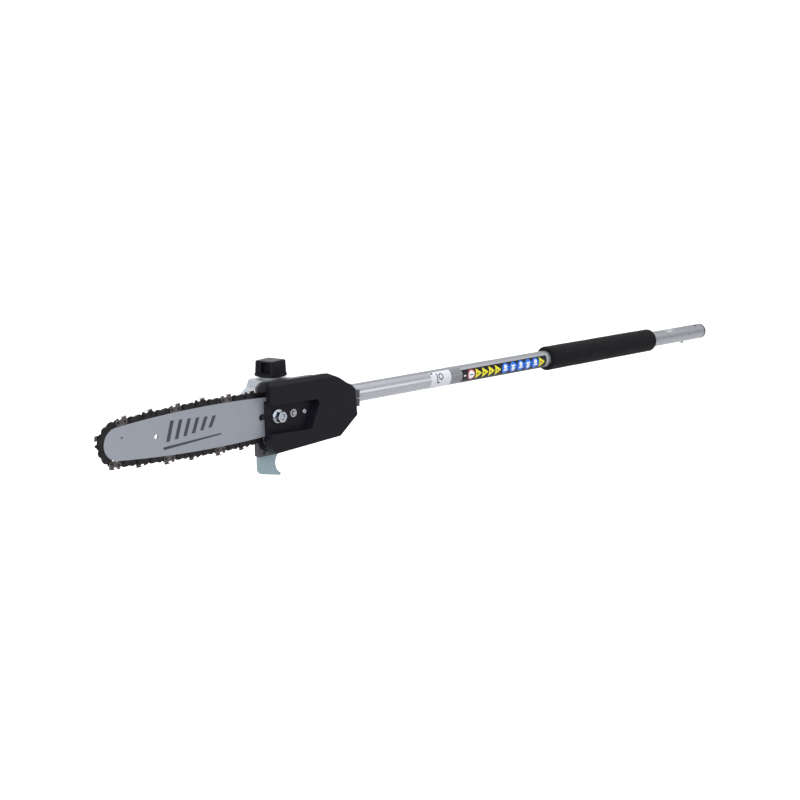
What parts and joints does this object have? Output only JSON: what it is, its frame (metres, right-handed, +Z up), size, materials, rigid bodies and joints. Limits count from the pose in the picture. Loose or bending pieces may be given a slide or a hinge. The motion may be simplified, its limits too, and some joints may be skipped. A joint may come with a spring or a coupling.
{
  "type": "pole saw attachment",
  "caption": "Pole saw head on a fixed aluminium tube: guide bar, saw chain, cover, oil tank, limb hook and foam grip, with a drive shaft inside.",
  "frame": {"origin": "centre of the tube's coupling end", "axes": "+X along the tube, out of its coupling end towards the power head; the guide bar lies at -X in a plane across Y, cover side -Y; +Z up"},
  "size_m": [1.279, 0.0836, 0.149],
  "materials": {
    "tube_aluminium": "satin anodised",
    "black_plastic": "moulded",
    "steel_bright": "bright",
    "bushing_rubber": "matte",
    "grip_foam": "closed-cell foam",
    "symbol_print": "printed film",
    "clear_film": "clear film",
    "info_print": "printed film",
    "info_print_small": "printed film",
    "cast_grey": "painted die casting",
    "screw_black": "black oxide",
    "screw_zinc": "zinc plated",
    "bearing_steel": "ground",
    "seal_rubber": "matte",
    "spring_steel": "rolled",
    "tank_translucent": "natural polyethylene",
    "hose_rubber": "matte",
    "filter_felt": "sintered",
    "pump_plastic": "moulded",
    "hook_zinc": "blue zinc plate",
    "gear_steel": "hardened",
    "gear_plastic": "acetal",
    "bar_paint": "grey powder coat",
    "bar_rivet_paint": "painted over",
    "chain_dark": "blackened steel",
    "chain_cutter_steel": "chromed cutters",
    "cover_plastic": "moulded",
    "cap_plastic": "moulded"
  },
  "bodies": {
    "pole_and_gearcase": {"pole_tube": "tube_aluminium", "coupling_end_ring": "black_plastic", "locating_pin": "steel_bright", "shaft_bushings": "bushing_rubber", "foam_grip": "grip_foam", "symbol_label": "symbol_print", "label_film": "clear_film", "info_label": "info_print", "insertion_label": "info_print_small", "gearcase": "cast_grey", "gearcase_lid": "cast_grey", "clamp_screws": "screw_black", "lid_screws": "screw_black", "hook_screws": "screw_zinc", "tank_screws": "screw_zinc", "pinion_bearings": "bearing_steel", "spindle_bearings": "bearing_steel", "spindle_seal": "seal_rubber", "inner_guide_plate": "spring_steel", "bar_stud": "screw_zinc", "rear_guide_post": "steel_bright", "oil_tank": "tank_translucent", "tank_grommet": "seal_rubber", "oil_pickup_hose": "hose_rubber", "oil_filter": "filter_felt", "oil_pump_body": "pump_plastic", "limb_hook": "hook_zinc"},
    "drive_line": {"drive_shaft": "steel_bright", "bevel_pinion": "gear_steel"},
    "spindle_set": {"output_spindle": "steel_bright", "bevel_gear": "gear_steel", "pump_drive_gear": "gear_plastic", "drive_sprocket": "gear_steel", "sprocket_washer": "spring_steel", "sprocket_e_clip": "spring_steel"},
    "pump_rotor": {"pump_gear": "gear_plastic"},
    "bar_and_chain": {"bar_side_plates": "bar_paint", "bar_core": "spring_steel", "bar_rivets": "bar_rivet_paint", "nose_hub": "gear_steel", "tension_rack": "spring_steel", "chain_drive_links": "chain_dark", "chain_tie_straps": "chain_dark", "chain_cutters": "chain_cutter_steel", "chain_rivets": "chain_dark"},
    "nose_wheel": {"nose_sprocket": "gear_steel"},
    "tensioner": {"tensioner_screw": "screw_zinc"},
    "cover": {"chain_cover": "cover_plastic", "cover_bush": "steel_bright"},
    "cover_nut": {"bar_nut": "screw_zinc"},
    "cap_seal": {"cap_gasket": "seal_rubber"},
    "cap": {"oil_cap": "cap_plastic"}
  },
  "joints": [
    {"name": "drive_shaft_spin", "type": "hinge", "parent": "pole_and_gearcase", "child": "drive_line", "pos_m": [0, 0, 0], "axis": [1, 0, 0], "continuous": true},
    {"name": "spindle_spin", "type": "hinge", "parent": "pole_and_gearcase", "child": "spindle_set", "pos_m": [-0.9358, 0, 0], "axis": [0, 1, 0], "continuous": true, "deforming": ["chain_drive_links", "chain_tie_straps", "chain_cutters", "chain_rivets"]},
    {"name": "pump_spin", "type": "hinge", "parent": "pole_and_gearcase", "child": "pump_rotor", "pos_m": [-0.9528, 0, -0.017], "axis": [0, 1, 0], "continuous": true},
    {"name": "bar_tension_slide", "type": "slide", "parent": "pole_and_gearcase", "child": "bar_and_chain", "axis": [1, 0, 0], "range_m": [-0.004, 0.004], "deforming": ["chain_drive_links", "chain_tie_straps", "chain_cutters", "chain_rivets"]},
    {"name": "nose_sprocket_spin", "type": "hinge", "parent": "bar_and_chain", "child": "nose_wheel", "pos_m": [-1.249, 0, 0], "axis": [0, 1, 0], "continuous": true, "deforming": ["chain_drive_links", "chain_tie_straps", "chain_cutters", "chain_rivets"]},
    {"name": "tensioner_screw_turn", "type": "hinge", "parent": "pole_and_gearcase", "child": "tensioner", "pos_m": [-0.972, 0, 0], "axis": [0, 1, 0], "range_deg": [-52, 52]},
    {"name": "cover_lift_off", "type": "slide", "parent": "pole_and_gearcase", "child": "cover", "axis": [0, -1, 0], "range_m": [0, 0.06]},
    {"name": "bar_nut_turn", "type": "hinge", "parent": "cover", "child": "cover_nut", "pos_m": [-1.0165, 0, 0], "axis": [0, -1, 0], "range_deg": [0, 2880]},
    {"name": "oil_cap_rise", "type": "slide", "parent": "pole_and_gearcase", "child": "cap_seal", "axis": [0, 0, 1], "range_m": [0, 0.006]},
    {"name": "oil_cap_turn", "type": "hinge", "parent": "cap_seal", "child": "cap", "pos_m": [-0.993, -0.006, 0], "axis": [0, 0, 1], "range_deg": [0, 720]}
  ],
  "couplings": [
    {"joint": "drive_shaft_spin", "follows": "spindle_spin", "ratio": 1.25},
    {"joint": "pump_spin", "follows": "spindle_spin", "ratio": -0.5},
    {"joint": "nose_sprocket_spin", "follows": "spindle_spin", "ratio": 0.75},
    {"joint": "tensioner_screw_turn", "follows": "bar_tension_slide", "rad_per_m": -222.22},
    {"joint": "oil_cap_turn", "follows": "oil_cap_rise", "rad_per_m": 2094.4}
  ]
}
